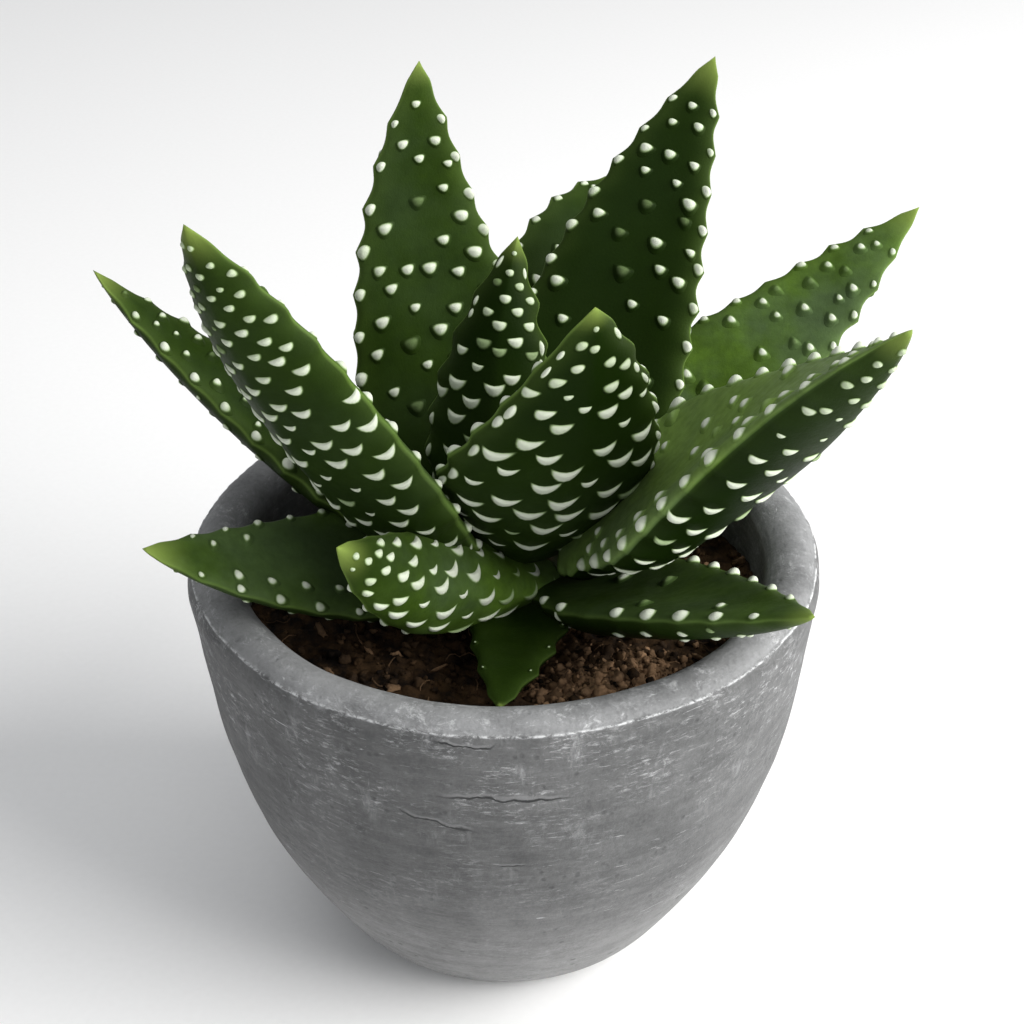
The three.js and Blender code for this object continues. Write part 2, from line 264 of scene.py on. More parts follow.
# One hairline crack: a wavy dark line on the side that faces front, given in metres, with
# chalk along its upper side.
hairline, given, result = shader_group(
    "hairline",
    {"Middle": 0.0, "Reach": 0.005, "Height": 0.04, "Slope": 0.0, "Width": 0.0002},
    ["Crack", "Chalk"])
sideways, forward, upright = node(
    hairline, "ShaderNodeSeparateXYZ", {"Vector": given["Place"]}).outputs
run = math_node(hairline, "SUBTRACT", sideways, given["Middle"])
wander = noise_of(hairline, given["Place"], 420.0, 3.0)
wander = times(hairline, math_node(hairline, "SUBTRACT", wander, 0.5), CRACK_WANDER)
line = math_node(hairline, "ADD", given["Height"], wander)
line = scaled(hairline, run, given["Slope"], line)
above = math_node(hairline, "SUBTRACT", upright, line)
along = math_node(hairline, "DIVIDE", math_node(hairline, "ABSOLUTE", run), given["Reach"])
inside = times(hairline, between(hairline, along, 1.0, 0.55),
               math_node(hairline, "LESS_THAN", forward, 0.0))


def widths_from(height):
    """How far from a height it is, counted in widths of the crack."""
    return math_node(hairline, "DIVIDE", math_node(hairline, "ABSOLUTE", height), given["Width"])


thin = between(hairline, widths_from(above), 1.0, 0.3)
hairline.links.new(times(hairline, thin, inside), result["Crack"])
lifted = math_node(hairline, "SUBTRACT", above, times(hairline, given["Width"], 2.0))
chalk = times(hairline, between(hairline, widths_from(lifted), 1.6, 0.2), inside)
hairline.links.new(chalk, result["Chalk"])


def mottled(tree, place, fineness, contrast):
    inputs = {"Place": place, "Fineness": fineness, "Contrast": contrast}
    return placed(tree, mottle, inputs)["Mask"]


def grained(tree, place, fineness, pits):
    return placed(tree, grain, {"Place": place, "Fineness": fineness, "Pits": pits})


def marked(tree, name):
    """The value that the mesh carries under this name."""
    return node(tree, "ShaderNodeAttribute", attribute_name=name).outputs["Fac"]


def roughen(tree, shader, height, distance, strength=1.0):
    """Fine relief for the light only; the distance is its depth in metres."""
    inputs = {"Height": height, "Distance": distance, "Strength": strength}
    bump = node(tree, "ShaderNodeBump", inputs)
    tree.links.new(bump.outputs["Normal"], shader.inputs["Normal"])


CEMENT_DARK = (0.038, 0.039, 0.040, 1)
CEMENT_MID = (0.142, 0.143, 0.144, 1)
# Painted light: the paler grey near the base stands in for light thrown up from the white table.
CEMENT_BOUNCE_LIT = (0.28, 0.28, 0.28, 1)
LIP_GREY = (0.25, 0.254, 0.258, 1)
CHALK = (0.66, 0.67, 0.68, 1)
CRACK_SHADE = (0.016, 0.017, 0.018, 1)
CRACKS = [  # middle, reach, height, slope and width, in metres; the front of the wall
    (0.0000, 0.0085, 0.0480, -0.05, 0.00022),
    (-0.0078, 0.0050, 0.0436, -0.24, 0.00018),
    (0.0008, 0.0018, 0.0367, -0.02, 0.00016),
    (-0.0045, 0.0038, 0.0562, 0.00, 0.00012),
]

cement, tree, shader, place = new_material("rubbed_cement")
lip_mark = marked(tree, "lip")
ridge_mark = marked(tree, "ridge")


def stretched(squeeze):
    """The place on the planter, squeezed in height: over 1 draws a noise out along the rings,
    and under 1 draws it out down the wall."""
    inputs = {"Vector": place, "Scale": (1, 1, squeeze)}
    return node(tree, "ShaderNodeMapping", inputs).outputs[0]


def noise_at(where, scale, roughness, low, high, distortion=0.0):
    """A fine noise, cut so that it is 0 up to low and 1 from high."""
    return between(tree, noise_of(tree, where, scale, 8.0, roughness, distortion), low, high)


clouding = mottled(tree, place, 60.0, 0.13)
brushed = mottled(tree, stretched(5), 130.0, 0.16)
runs = mottled(tree, stretched(0.22), 190.0, 0.16)
gritty = noise_at(place, 1300.0, 0.8, 0.3, 0.7)
tone = 0.0
for mask, share in ((clouding, 0.3), (brushed, 0.22), (runs, 0.18), (gritty, 0.3)):
    tone = scaled(tree, mask, share, tone)
colour = blend_colour(tree, tone, CEMENT_DARK, CEMENT_MID)
height = node(tree, "ShaderNodeSeparateXYZ", {"Vector": place}).outputs["Z"]
# Painted light: the wall turns paler towards its base, where the white table throws light up on
# it.
painted_bounce_light = times(tree, between(tree, height, 0.036, 0.0), scaled(tree, tone, 0.9, 0.3))
colour = blend_colour(tree, painted_bounce_light, colour, CEMENT_BOUNCE_LIT)
rubbed = times(tree, lip_mark, math_node(tree, "ADD", tone, 0.2, clamp=True))
colour = blend_colour(tree, rubbed, colour, LIP_GREY)

# Chalky scuffs lie in patches, most of them in the band below the lip where the hand rubbed.
upper = between(tree, height, 0.036, 0.055)
patches = times(tree, mottled(tree, place, 110.0, 0.1), scaled(tree, upper, 0.65, 0.3))
handled = scaled(tree, mottled(tree, place, 70.0, 0.1), 0.85, 0.15)
scuff = times(tree, noise_at(stretched(3), 520.0, 0.8, 0.5, 0.7, 0.5), patches)
scratch = times(tree, noise_at(stretched(9), 260.0, 0.7, 0.6, 0.72, 0.6), handled)
dribble = times(tree, noise_at(stretched(0.3), 420.0, 0.75, 0.52, 0.7, 0.3), patches)
chipped = times(tree, noise_at(stretched(2), 620.0, 0.8, 0.41, 0.57, 0.5), ridge_mark)
crack_mask, crack_chalk = 0.0, 0.0
for middle, reach, level, slope, width in CRACKS:
    crack = placed(tree, hairline, {"Place": place, "Middle": middle, "Reach": reach,
                                    "Height": level, "Slope": slope, "Width": width})
    crack_mask = math_node(tree, "MAXIMUM", crack["Crack"], crack_mask)
    crack_chalk = math_node(tree, "MAXIMUM", crack["Chalk"], crack_chalk)
chalky = chipped
for mask, strength in ((scuff, 0.75), (scratch, 0.6), (dribble, 0.42), (crack_chalk, 0.12)):
    chalky = math_node(tree, "MAXIMUM", times(tree, mask, strength), chalky)
colour = blend_colour(tree, chalky, colour, CHALK)
sanded = grained(tree, place, 1700.0, 0.8)
pitted = times(tree, sanded["Mask"], scaled(tree, lip_mark, -0.4, 0.5))
colour = blend_colour(tree, pitted, colour, CEMENT_DARK)
colour = blend_colour(tree, crack_mask, colour, CRACK_SHADE)
tree.links.new(colour, shader.inputs["Base Color"])
tree.links.new(scaled(tree, clouding, 0.18, 0.62), shader.inputs["Roughness"])
relief = sanded["Height"]
for mask, rise in ((crack_mask, -1.4), (chalky, 0.5), (brushed, 0.7)):
    relief = scaled(tree, mask, rise, relief)
roughen(tree, shader, relief, 0.00012, 0.8)


def through(points, steps):
    """A smooth curve through the points, with so many steps between each pair."""
    ends = [2 * np.array(points[0]) - points[1], *map(np.array, points),
            2 * np.array(points[-1]) - points[-2]]
    curve = []
    for a, b, c, d in zip(ends, ends[1:], ends[2:], ends[3:]):
        for t in np.linspace(0, 1, steps, endpoint=False):
            curve.append(0.5 * (2 * b + (c - a) * t + (2 * a - 5 * b + 4 * c - d) * t * t
                                + (3 * b - a - 3 * c + d) * t ** 3))
    return [*curve, ends[-2]]


def ring_faces(rings, sides):
    """Skins a stack of rings; the first and the last point of the mesh close its ends."""
    def at(ring, j):
        return 1 + ring * sides + j % sides

    last = 1 + rings * sides
    faces = [(0, at(0, j + 1), at(0, j)) for j in range(sides)]
    faces += [(last, at(rings - 1, j), at(rings - 1, j + 1)) for j in range(sides)]
    faces += [(at(k, j), at(k, j + 1), at(k + 1, j + 1), at(k + 1, j))
              for k in range(rings - 1) for j in range(sides)]
    return faces


# Radius, height, share of the lip and share of the chipped edge, from base to cavity.
rings = [(r, z, 0.0, 0.0) for r, z in through(WALL_OUTLINE, 9)[:-1]]
for degrees in np.linspace(0, 180, LIP_STEPS):
    a = math.radians(degrees)
    lip = min(max((degrees - RIDGE_ANGLE) / LIP_BLEND, 0), 1)
    ridge = math.exp(-(((degrees - RIDGE_ANGLE) / RIDGE_WIDTH) ** 2))
    rings.append((POT_RADIUS - LIP_ROUNDING * (1 - math.cos(a)),
                  POT_HEIGHT - LIP_ROUNDING * (1 - math.sin(a)), lip, ridge))
rings += [(r, z, CAVITY_SHARE, 0.0) for r, z in through(CAVITY_OUTLINE, 4)]

points, lip_marks, ridge_marks = [(0, 0, 0)], [0.0], [0.0]
for radius, height, lip, ridge in rings:
    for j in range(POT_SIDES):
        a = 2 * math.pi * j / POT_SIDES
        even = Vector((radius * math.cos(a), radius * math.sin(a), height))
        uneven = noise.fractal(even / UNEVEN_PITCH, 1, 2, 3) * min(height / UNEVEN_FROM, 1)
        nick = noise.fractal(even / NICK_PITCH + Vector((7, 3, 5)), 1, 2, 4)
        cut = NICK_DEPTH * max(nick - NICK_START, 0)
        edge = ridge * (EDGE_SWELL + EDGE_SWELL * nick - cut)
        r = radius + WALL_UNEVENNESS * uneven - WALL_INSET + edge
        r = min(r, POT_RADIUS + EDGE_LIMIT)
        points.append((r * math.cos(a), r * math.sin(a), height + EDGE_LIFT * edge))
        lip_marks.append(lip)
        ridge_marks.append(ridge)
points.append((0, 0, POT_FLOOR))
lip_marks.append(0.0)
ridge_marks.append(0.0)
pot = mesh_object("cement_cup", points, ring_faces(len(rings), POT_SIDES), cement,
                  {"lip": lip_marks, "ridge": ridge_marks})
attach(pot, "root")
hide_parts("pot")


# -----------------------------------------------------------------------------
# Soil
# Dark, damp peat with crumbs, a few bark chips and fine root fibres, poured in to about nine
# millimetres below the lip. A clod sits at the front right.
# -----------------------------------------------------------------------------
SOIL_LEVEL = 48.9
SOIL_EDGE = 32.7
SOIL_GAP = 0.3  # between the soil and the wall
SOIL_SHOULDER = 4  # how far below its level the soil's own wall ends
SOIL_SIDES = 240
SOIL_RINGS = 84
PLANT_X, PLANT_Y = 4, 2
STEM_CLEARANCE = 6
WALL_CLEARANCE = 0.6
FIBRE_CLEARANCE = 0.3
CLOD_X, CLOD_Y, CLOD_WIDE, CLOD_DEEP = 13, -20, 50, 26
HILLS = [  # rise, place and squared reach of the clod, of a hollow and of the dip at the plant
    (2.4, CLOD_X, CLOD_Y, CLOD_WIDE, CLOD_DEEP),
    (-0.7, -14, -20, 60, 60),
    (-0.9, PLANT_X, PLANT_Y - 4, 180, 180),
]
CRUMB_PITCH = 1.5
CRUMB_RELIEF = 0.55
CRUMBS = 2400
CRUMB_SPREAD = (5, 3.4)  # of the crumbs that lie on the clod
CHIPS = 60
CHIP_SMALLEST = (0.8, 0.45, 0.16)
CHIP_LARGEST = (1.6, 0.8, 0.34)
FIBRES = 90
FIBRE_SPREAD = (6, 5)
FIBRE_RINGS = 9
FIBRE_SIDES = 5
LUMP_ROUGHNESS = 0.8
PEAT_DARK = (0.006, 0.004, 0.003, 1)
PEAT_BROWN = (0.060, 0.034, 0.016, 1)
BARK_TAN = (0.39, 0.24, 0.135, 1)

peat, tree, shader, place = new_material("damp_peat")
patchy = mottled(tree, place, 420.0, 0.16)
colour = blend_colour(tree, patchy, PEAT_DARK, PEAT_BROWN)
colour = blend_colour(tree, marked(tree, "warmth"), colour, BARK_TAN)
crumbly = grained(tree, place, 2600.0, 0.5)
colour = blend_colour(tree, times(tree, crumbly["Mask"], 0.6), colour, PEAT_DARK)
tree.links.new(colour, shader.inputs["Base Color"])
tree.links.new(scaled(tree, patchy, 0.25, 0.7), shader.inputs["Roughness"])
shader.inputs["Specular IOR Level"].default_value = 0.12
roughen(tree, shader, crumbly["Height"], 0.00025)


def hill(x, y, rise, middle_x, middle_y, reach_x, reach_y):
    return rise * math.exp(-((x - middle_x) ** 2) / reach_x - (y - middle_y) ** 2 / reach_y)


def soil_height(x, y):
    waves = 0.5 * math.sin(0.21 * x + 1.1) * math.cos(0.17 * y - 0.6)
    lumps = 0.35 * math.sin(1.7 * x + 2.3 * y) * math.sin(1.3 * y - 0.9 * x + 0.7)
    return sum((hill(x, y, *row) for row in HILLS), SOIL_LEVEL + waves + lumps)


def crumb_height(x, y):
    """The soil's height with the crumbled surface that the eye sees."""
    fine = noise.fractal(Vector((x, y, 0)) / CRUMB_PITCH, 1, 2, 5)
    return soil_height(x, y) + CRUMB_RELIEF * fine


soil_rings = [(r - SOIL_GAP, z + SOIL_GAP) for r, z in reversed(CAVITY_OUTLINE)
              if z < SOIL_LEVEL - SOIL_SHOULDER]
points = [(0, 0, soil_rings[0][1])]
soil_rings += [(SOIL_EDGE * k / SOIL_RINGS, None) for k in range(SOIL_RINGS, 0, -1)]
for radius, height in soil_rings:
    for j in range(SOIL_SIDES):
        a = 2 * math.pi * j / SOIL_SIDES
        x, y = radius * math.cos(a), radius * math.sin(a)
        points.append((x, y, crumb_height(x, y) if height is None else height))
points.append((0, 0, crumb_height(0, 0)))
faces = ring_faces(len(soil_rings), SOIL_SIDES)
warm = [hill(x, y, 0.9, CLOD_X, CLOD_Y, CLOD_WIDE, CLOD_DEEP) for x, y, z in points]

ball = bmesh.new()
bmesh.ops.create_icosphere(ball, subdivisions=2, radius=1)
BALL_POINTS = np.array([v.co for v in ball.verts])
BALL_FACES = [tuple(v.index for v in f.verts) for f in ball.faces]
ball.free()
dice = np.random.default_rng(11)


def add_piece(extra_points, extra_faces, tint):
    """Joins a small closed piece to the soil."""
    start = len(points)
    points.extend(map(tuple, extra_points))
    faces.extend(tuple(start + i for i in face) for face in extra_faces)
    warm.extend([tint] * len(extra_points))


def lump(x, y, size, tint):
    """A rough crumb, bedded in the surface: size is its three half axes."""
    turn = Matrix(np.linalg.qr(dice.normal(size=(3, 3)))[0].tolist())
    offset = Vector(dice.uniform(0, 50, 3))
    z = crumb_height(x, y) + 0.25 * min(size)
    shaped = []
    for p in BALL_POINTS:
        reach = 1 + LUMP_ROUGHNESS * noise.noise(Vector(p) * 1.3 + offset)
        local = turn @ Vector([p[i] * size[i] * reach for i in range(3)])
        shaped.append((x + local.x, y + local.y, z + local.z))
    add_piece(shaped, BALL_FACES, tint)


def soil_spot(spread=None):
    """A random place on the soil, clear of the stem; with a spread, a place near the clod."""
    while True:
        if spread:
            x, y = dice.normal(CLOD_X, spread[0]), dice.normal(CLOD_Y, spread[1])
        else:
            r, a = SOIL_EDGE * math.sqrt(dice.random()), dice.uniform(0, 2 * math.pi)
            x, y = r * math.cos(a), r * math.sin(a)
        from_stem = math.hypot(x - PLANT_X, y - PLANT_Y)
        if math.hypot(x, y) < SOIL_EDGE - WALL_CLEARANCE and from_stem > STEM_CLEARANCE:
            return x, y


for i in range(CRUMBS):
    on_clod = i % 4 == 0
    x, y = soil_spot(CRUMB_SPREAD if on_clod else None)
    size = 0.14 + 0.5 * dice.random() ** 2
    tint = dice.normal(0.55, 0.26) if on_clod else dice.normal(0.02, 0.07)
    lump(x, y, size * dice.uniform(0.7, 1.3, 3), float(np.clip(tint, 0, 0.9)))
for i in range(CHIPS):
    x, y = soil_spot()
    lump(x, y, dice.uniform(CHIP_SMALLEST, CHIP_LARGEST), dice.uniform(0.25, 0.95))
for i in range(FIBRES):
    x, y = soil_spot(FIBRE_SPREAD if i % 3 == 0 else None)
    heading, bow = dice.uniform(0, 2 * math.pi), dice.uniform(-0.25, 0.25)
    thick, length = dice.uniform(0.05, 0.1), dice.uniform(2, 6)
    strand = []
    for k in range(FIBRE_RINGS):
        step = length / FIBRE_RINGS
        x, y = x + step * math.cos(heading), y + step * math.sin(heading)
        heading += bow
        if math.hypot(x, y) > SOIL_EDGE - FIBRE_CLEARANCE:
            x, y = x * 0.97, y * 0.97
        lift = crumb_height(x, y) + 0.1 + 0.25 * math.sin(math.pi * k / (FIBRE_RINGS - 1))
        side = Vector((-math.sin(heading), math.cos(heading), 0))
        for q in range(FIBRE_SIDES):
            b = 2 * math.pi * q / FIBRE_SIDES
            offset = side * math.cos(b) * thick + Vector((0, 0, math.sin(b) * thick))
            strand.append((x + offset.x, y + offset.y, lift + offset.z))
    ends = [np.mean(strand[:FIBRE_SIDES], 0), np.mean(strand[-FIBRE_SIDES:], 0)]
    add_piece([ends[0], *strand, ends[1]], ring_faces(FIBRE_RINGS, FIBRE_SIDES),
              dice.uniform(0.1, 0.5))

soil = mesh_object("peat_fill", points, faces, peat, {"warmth": warm})
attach(soil, "root")
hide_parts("soil")


# -----------------------------------------------------------------------------
# Stem
# The short green stub that carries the leaves. It stands in its hole in the soil, ringed with
# the scars of old leaves, and is almost hidden between the feet of the leaves.
# -----------------------------------------------------------------------------
STEM_RADIUS = 4.8
STEM_INSET = 0.12
STEM_FOOT = 45
STEM_TOP = 59.5
STEM_SIDES = 64
SCAR_DEPTH = 0.12
SCAR_PITCH = 1.4
STEM_GREEN = (0.035, 0.06, 0.018, 1)
STEM_BROWN = (0.10, 0.075, 0.04, 1)
STEM_OUTLINE = [(0.7 * STEM_RADIUS, STEM_FOOT), (STEM_RADIUS, STEM_FOOT + 1.5),
                (STEM_RADIUS, STEM_TOP - 3), (0.75 * STEM_RADIUS, STEM_TOP - 1),
                (0.02 * STEM_RADIUS, STEM_TOP)]

pith, tree, shader, place = new_material("scarred_stem")
colour = blend_colour(tree, mottled(tree, place, 380.0, 0.15), STEM_GREEN, STEM_BROWN)
tree.links.new(colour, shader.inputs["Base Color"])
shader.inputs["Roughness"].default_value = 0.65
roughen(tree, shader, grained(tree, place, 2200.0, 0.4)["Height"], 0.0001)

outline = through(STEM_OUTLINE, 14)
points = [(PLANT_X, PLANT_Y, STEM_FOOT)]
for radius, height in outline:
    scar = SCAR_DEPTH * math.sin(2 * math.pi * height / SCAR_PITCH) * min(radius / STEM_RADIUS, 1)
    for j in range(STEM_SIDES):
        a = 2 * math.pi * j / STEM_SIDES
        r = radius - STEM_INSET + scar * (1 + 0.4 * math.sin(5 * a + height))
        points.append((PLANT_X + r * math.cos(a), PLANT_Y + r * math.sin(a), height))
points.append((PLANT_X, PLANT_Y, STEM_TOP))
stem = mesh_object("leaf_stub", points, ring_faces(len(outline), STEM_SIDES), pith)
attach(stem, "root")
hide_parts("stem")


# -----------------------------------------------------------------------------
# Leaves
# Thick, stiff, tapering leaves grown from the stem, each one body: a nearly flat upper face, a
# keeled back, a pale toothed margin and a yellow tip. White bumps grow out of the skin, as
# close crescents on the back and as small rounded triangles, further apart, on the face.
# -----------------------------------------------------------------------------
# turn, swing, rise, lift, roll, twist and slant are degrees; foot, length, width and keel are
# millimetres. waist is the foot's share of the width, shoulder how far up the full width
# starts, and point how late the leaf narrows. back, face and fringe say how many of the bumps
# the two sides and the skin below the margins have, bump how large they all are and edge those
# of the margins, crescent how wide the ones of the back grow, close how far apart their rows
# stand, cap how much of each is white, slant how far they lie turned, and seam at which angle
# round the leaf one more row runs. teeth is how high the teeth stand and scallop how round they
# are. tone_and_light says how light the green is, partly the leaf's own tone and partly painted
# light and shade; foot_light is painted light, how much lighter the foot is than the tip; shade
# is painted shade, how much darker the back is; pale is how strong the margin's colour is, and
# gold how much of the leaf's end is yellow.
USUAL = {
    "swing": 0, "roll": 0, "twist": 0, "keel": 6, "waist": 0.62, "shoulder": 0.35, "point": 1.8,
    "back": 1.0, "face": 1.0, "fringe": 0, "bump": 1.0, "edge": 1.0, "crescent": 1.0,
    "close": 1.0, "cap": 0.95, "slant": 0, "seam": None, "teeth": 1.0, "scallop": 0.3,
    "tone_and_light": 0.4, "foot_light": 0, "shade": 0.3, "pale": 1.0, "gold": 0.05,
}
LEAVES = {
    "leaf_heart_front": {
        "foot": (4.6, 1, 57.5), "turn": -70, "rise": 80, "lift": 88, "length": 23, "width": 10,
        "keel": 3.4, "waist": 0.7, "shoulder": 0.3, "tone_and_light": 0.6},
    "leaf_heart_back": {
        "foot": (3.6, 3.4, 57), "turn": 125, "rise": 78, "lift": 86, "length": 25, "width": 11,
        "keel": 3.4, "waist": 0.7, "shoulder": 0.3, "tone_and_light": 0.6},
    "leaf_inner_front": {
        "foot": (1.2, -2.7, 60.8), "turn": -69.3, "swing": 4.4, "rise": 50.3, "lift": 72.6,
        "length": 46.5, "width": 29.5, "roll": -19.9, "twist": 27.7, "waist": 0.5,
        "shoulder": 0.5, "point": 2.36, "bump": 1.12, "close": 0.92, "scallop": 0.8,
        "fringe": 0.7, "tone_and_light": 0.36, "foot_light": 0.7, "gold": 0.03},
    "leaf_inner_left": {
        "foot": (0.7, -0.3, 59.4), "turn": -132.1, "swing": 1.3, "rise": 73.6, "lift": 111,
        "length": 40.1, "width": 19.3, "roll": 34.9, "twist": 2.2, "point": 1.73, "bump": 0.95,
        "crescent": 0.8, "close": 0.76, "scallop": 0.7, "fringe": 0.6, "tone_and_light": 0.38, "foot_light": 1.1,
        "gold": 0.04},
    "leaf_inner_back": {
        "foot": (3.2, 5, 58.5), "turn": 104, "rise": 62, "lift": 74, "length": 31, "width": 13.5,
        "keel": 4.5},
    "leaf_tall_left": {
        "foot": (-1.4, 4.4, 56.5), "turn": 133.6, "swing": 1.4, "rise": 59.5, "lift": 97.6,
        "length": 61.4, "width": 26.5, "roll": -28.5, "twist": 4.6, "point": 1.75, "face": 1.14,
        "bump": 0.98, "cap": 1.02, "tone_and_light": 0.13, "foot_light": -1.0, "gold": 0.03},
    "leaf_tall_right": {
        "foot": (5.2, 5.1, 57.1), "turn": 52.3, "swing": -0.5, "rise": 64.4, "lift": 47.2,
        "length": 63.2, "width": 26.5, "roll": 22.5, "twist": -1.9, "shoulder": 0.31,
        "point": 1.81, "face": 0.75, "tone_and_light": 0.03},
    "leaf_front_right": {
        "foot": (7.9, -3.5, 61.1), "turn": -41.6, "swing": -18.5, "rise": 45.4, "lift": 41.8,
        "length": 68, "width": 26.6, "keel": 10, "roll": 39.4, "twist": -36.1, "waist": 0.5,
        "shoulder": 0.34, "point": 2.45, "face": 0.42, "crescent": 0.84, "edge": 1.25,
        "tone_and_light": 2.7, "foot_light": -0.15, "shade": 2.75, "pale": 0.3, "gold": 0.035},
    "leaf_front_left": {
        "foot": (-4.2, -1.7, 58.2), "turn": -146.6, "swing": 22.4, "rise": 50.7, "lift": 59.6,
        "length": 67, "width": 25.5, "keel": 8.2, "roll": -5.6, "twist": 19.2, "waist": 0.58,
        "shoulder": 0.34, "point": 2.3, "bump": 0.92, "crescent": 0.88, "close": 0.86,
        "scallop": 0.8, "tone_and_light": 0.38, "foot_light": -0.2, "pale": 0.7, "gold": 0.04},
    "leaf_behind_right": {
        "foot": (5.7, 8.3, 57.3), "turn": 84, "swing": -18, "rise": 57, "lift": 9, "length": 54,
        "width": 25, "roll": 29.9, "twist": 3.6, "point": 3.03, "face": 0.6, "tone_and_light": 0.07},
    "leaf_far_right": {
        "foot": (6.9, 5.5, 57.9), "turn": 29.6, "swing": -2.2, "rise": 24.7, "lift": 34.8,
        "length": 63, "width": 23.5, "roll": 32.3, "twist": -4.5, "point": 1.63, "bump": 0.98,
        "cap": 0.8, "tone_and_light": 0.62},
    "leaf_far_left": {
        "foot": (-1.5, 2.5, 53.4), "turn": 168.5, "swing": 1.1, "rise": 28.1, "lift": 43.5,
        "length": 61.9, "width": 20.2, "roll": -2.8, "twist": 2.6, "point": 1.75,
        "crescent": 0.4, "cap": 0.8, "edge": 1.25, "tone_and_light": 0.08, "foot_light": -1.4},
    "leaf_low_front_left": {
        "foot": (4.6, -1.7, 53.2), "turn": -141.4, "swing": 26.7, "rise": 15.4, "lift": 48.4,
        "length": 43.7, "width": 14.8, "keel": 6.1, "roll": 95.8, "twist": -3.6, "waist": 0.38,
        "shoulder": 0.52, "point": 2.71, "close": 0.8, "slant": -60, "teeth": 0.3, "tone_and_light": 0.8,
        "foot_light": 1.4, "pale": 0.7, "gold": 0.07},
    "leaf_low_right": {
        "foot": (6.9, -2.5, 53.6), "turn": -53.2, "swing": -2.7, "rise": 22.2, "lift": 24.5,
        "length": 48.7, "width": 19.3, "keel": 6.1, "roll": 0.3, "twist": 3.5, "waist": 0.64,
        "shoulder": 0.3, "point": 1.93, "face": 0.2, "back": 0.7, "crescent": 0.3, "edge": 1.15,
        "teeth": 0.6, "tone_and_light": 0.3, "foot_light": -0.9, "pale": 0.6},
    "leaf_low_left": {
        "foot": (-0.9, 1, 56.5), "turn": -153.3, "swing": 4.2, "rise": 2.5, "lift": 30.5,
        "length": 48.5, "width": 19.1, "roll": -19.9, "twist": -8.7, "point": 2.04, "face": 0.1,
        "back": 0.8, "bump": 0.95, "crescent": 0.3, "cap": 0.74, "seam": 0.98, "teeth": 0.5,
        "tone_and_light": 0.36, "foot_light": -0.4, "pale": 0.6, "gold": 0.07},
    "leaf_back_left": {
        "foot": (2.1, 6.6, 54.5), "turn": 112, "rise": 16, "lift": 28, "length": 44, "width": 18,
        "keel": 5},
    "leaf_low_back_left": {
        "foot": (-0.3, 4.5, 55), "turn": 150, "rise": 10, "lift": 20, "length": 38, "width": 17,
        "keel": 5, "face": 0.5},
    "leaf_low_back_right": {
        "foot": (7.7, 5.3, 54.5), "turn": 42, "rise": 12, "lift": 24, "length": 38, "width": 17,
        "keel": 5, "face": 0.5},
    "leaf_low_back": {
        "foot": (4.9, 6.9, 53.5), "turn": 80, "rise": 14, "lift": 26, "length": 42, "width": 18,
        "keel": 5, "face": 0.5},
    "leaf_low_front": {
        "foot": (3, -1, 53.3), "turn": -97, "rise": 2, "lift": 2, "length": 30, "width": 14,
        "keel": 4, "face": 0.3, "bump": 0.6, "cap": 0.4, "tone_and_light": 0.1, "pale": 0.35, "gold": 0.02},
}

GREEN_DEEP = (0.008, 0.016, 0.002, 1)
GREEN_DARK = (0.0052, 0.0135, 0.001, 1)
GREEN_LIT = (0.095, 0.175, 0.022, 1)
GREEN_MARGIN = (0.17, 0.27, 0.06, 1)
GREEN_MILKY = (0.25, 0.35, 0.15, 1)
TIP_GOLD = (0.22, 0.30, 0.065, 1)
# A grey-green for the waxy bloom on the skin, which also serves as a painted sheen.
BLOOM_AND_SHEEN = (0.075, 0.10, 0.075, 1)
BUMP_WHITE = (0.54, 0.58, 0.48, 1)

skin, tree, shader, place = new_material("leaf_skin")
white_mark, tone_and_light_mark = marked(tree, "white"), marked(tree, "tone_and_light")
patchy = mottled(tree, place, 120.0, 0.2)
cloudy = mottled(tree, place, 900.0, 0.25)
# Painted light and shade, mixed with the leaf's own tone: the lightness mark blends the dark
# green into the lit green and, past that, into the margin's pale green.
lightness = times(tree, tone_and_light_mark, scaled(tree, patchy, 0.7, 0.65))
colour = blend_colour(tree, lightness, GREEN_DARK, GREEN_LIT)
lighter_still = math_node(tree, "SUBTRACT", lightness, 1.0)
colour = blend_colour(tree, lighter_still, colour, GREEN_MARGIN)
# A grey bloom, partly the wax on the skin and partly a painted sheen, stronger on leaves painted
# lighter.
bloom_and_sheen = math_node(tree, "MINIMUM", times(tree, tone_and_light_mark, 0.75), 0.42)
bloom_and_sheen = times(tree, mottled(tree, place, 48.0, 0.12), bloom_and_sheen)
colour = blend_colour(tree, bloom_and_sheen, colour, BLOOM_AND_SHEEN)
colour = blend_colour(tree, times(tree, cloudy, 0.25), colour, GREEN_DEEP)
colour = blend_colour(tree, marked(tree, "rim"), colour, GREEN_MARGIN)
colour = blend_colour(tree, marked(tree, "tip"), colour, TIP_GOLD)
chalked = times(tree, white_mark, scaled(tree, cloudy, -0.12, 1.0))
colour = blend_colour(tree, between(tree, chalked, 0.0, 0.6), colour, GREEN_MILKY)
colour = blend_colour(tree, between(tree, chalked, 0.25, 0.85), colour, BUMP_WHITE)
tree.links.new(colour, shader.inputs["Base Color"])
satin = scaled(tree, cloudy, 0.1, scaled(tree, white_mark, 0.1, 0.42))
tree.links.new(satin, shader.inputs["Roughness"])
shader.inputs["Specular IOR Level"].default_value = 0.03
roughen(tree, shader, grained(tree, place, 3600.0, 0.2)["Height"], 0.00006, 0.7)

